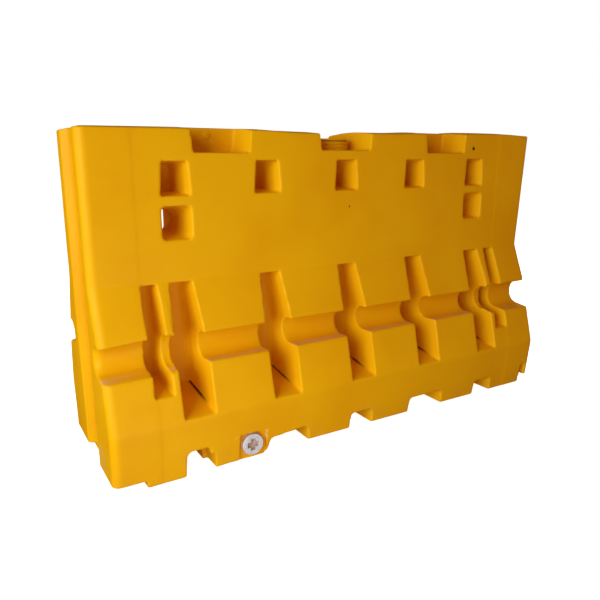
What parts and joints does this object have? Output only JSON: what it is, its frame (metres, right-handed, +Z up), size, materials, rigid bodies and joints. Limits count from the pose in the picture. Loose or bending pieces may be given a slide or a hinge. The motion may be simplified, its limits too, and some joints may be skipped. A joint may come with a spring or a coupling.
{
  "type": "water filled barrier",
  "caption": "Hollow plastic traffic barrier that is filled with water, with a flared base, side slots, a rail groove, end coupling channels and screw plugs.",
  "frame": {"origin": "on the ground, halfway along the barrier and halfway through it", "axes": "+X along the barrier, -Y out of the side with the drain plug, +Z up"},
  "size_m": [1.829, 0.5656, 1.078],
  "materials": {
    "shell_yellow": "satin moulded polyethylene",
    "plug_yellow": "satin moulded polyethylene",
    "bushing_tan": "satin translucent nylon",
    "plug_white": "semi gloss",
    "gasket_black": "matte"
  },
  "bodies": {
    "barrier": {"barrier_shell": "shell_yellow", "drain_bushing": "bushing_tan", "vent_plug": "plug_yellow"},
    "filler_seal": {"filler_gasket": "gasket_black"},
    "filler_cap": {"filler_plug": "plug_yellow"},
    "drain_seal": {"drain_gasket": "gasket_black"},
    "drain_cap": {"drain_plug": "plug_white"}
  },
  "joints": [
    {"name": "filler_lift", "type": "slide", "parent": "barrier", "child": "filler_seal", "axis": [0, 0, 1], "range_m": [0, 0.0241]},
    {"name": "filler_turn", "type": "hinge", "parent": "filler_seal", "child": "filler_cap", "pos_m": [0, 0, 1.04], "axis": [0, 0, 1], "range_deg": [0, 720]},
    {"name": "drain_travel", "type": "slide", "parent": "barrier", "child": "drain_seal", "axis": [0, -1, 0], "range_m": [0, 0.0251]},
    {"name": "drain_turn", "type": "hinge", "parent": "drain_seal", "child": "drain_cap", "pos_m": [-0.45, -0.252, 0.044], "axis": [0, -1, 0], "range_deg": [0, 1800]}
  ],
  "couplings": [
    {"joint": "filler_lift", "follows": "filler_turn", "m_per_rad": 0.0019099},
    {"joint": "drain_travel", "follows": "drain_turn", "m_per_rad": 0.00079577}
  ]
}
